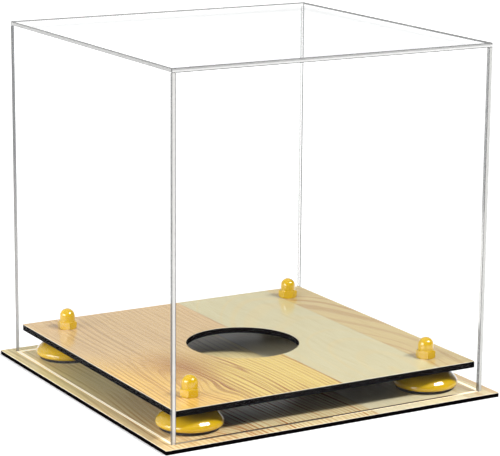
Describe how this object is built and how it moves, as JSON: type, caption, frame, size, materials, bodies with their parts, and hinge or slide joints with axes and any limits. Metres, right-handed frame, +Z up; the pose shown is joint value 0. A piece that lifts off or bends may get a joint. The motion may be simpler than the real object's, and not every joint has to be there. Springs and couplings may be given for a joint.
{
  "type": "bowling ball display case",
  "caption": "Clear box cover on a thin wood-grain base, round a raised wood-grain platform with a seat hole for a ball, carried on gold domed risers with acorn nuts.",
  "frame": {"origin": "centre of the base's underside, which rests on the table", "axes": "+Z up, +X to the right and -Y towards the viewer of the cover's front panel"},
  "size_m": [0.2714, 0.2714, 0.2572],
  "materials": {
    "clear_acrylic": "polished",
    "wood_laminate": "satin",
    "board_core": "gloss",
    "gold_plastic": "polished",
    "black_rubber": "matte",
    "zinc_steel": "satin"
  },
  "bodies": {
    "base": {"base_core": "board_core", "base_laminate": "wood_laminate"},
    "riser_stand": {"platform_core": "board_core", "platform_laminate": "wood_laminate", "riser_dome_front_left": "gold_plastic", "riser_dome_front_right": "gold_plastic", "riser_dome_rear_left": "gold_plastic", "riser_dome_rear_right": "gold_plastic", "riser_pad_front_left": "black_rubber", "riser_pad_front_right": "black_rubber", "riser_pad_rear_left": "black_rubber", "riser_pad_rear_right": "black_rubber", "riser_screw_front_left": "zinc_steel", "riser_screw_front_right": "zinc_steel", "riser_screw_rear_left": "zinc_steel", "riser_screw_rear_right": "zinc_steel", "acorn_nut_front_left": "gold_plastic", "acorn_nut_front_right": "gold_plastic", "acorn_nut_rear_left": "gold_plastic", "acorn_nut_rear_right": "gold_plastic"},
    "cover": {"cover_front": "clear_acrylic", "cover_rear": "clear_acrylic", "cover_left": "clear_acrylic", "cover_right": "clear_acrylic", "cover_top": "clear_acrylic"}
  },
  "joints": [
    {"name": "cover_lift", "type": "slide", "parent": "base", "child": "cover", "axis": [0, 0, 1], "range_m": [0, 0.26]},
    {"name": "stand_lift", "type": "slide", "parent": "base", "child": "riser_stand", "axis": [0, 0, 1], "range_m": [0, 0.12]}
  ]
}
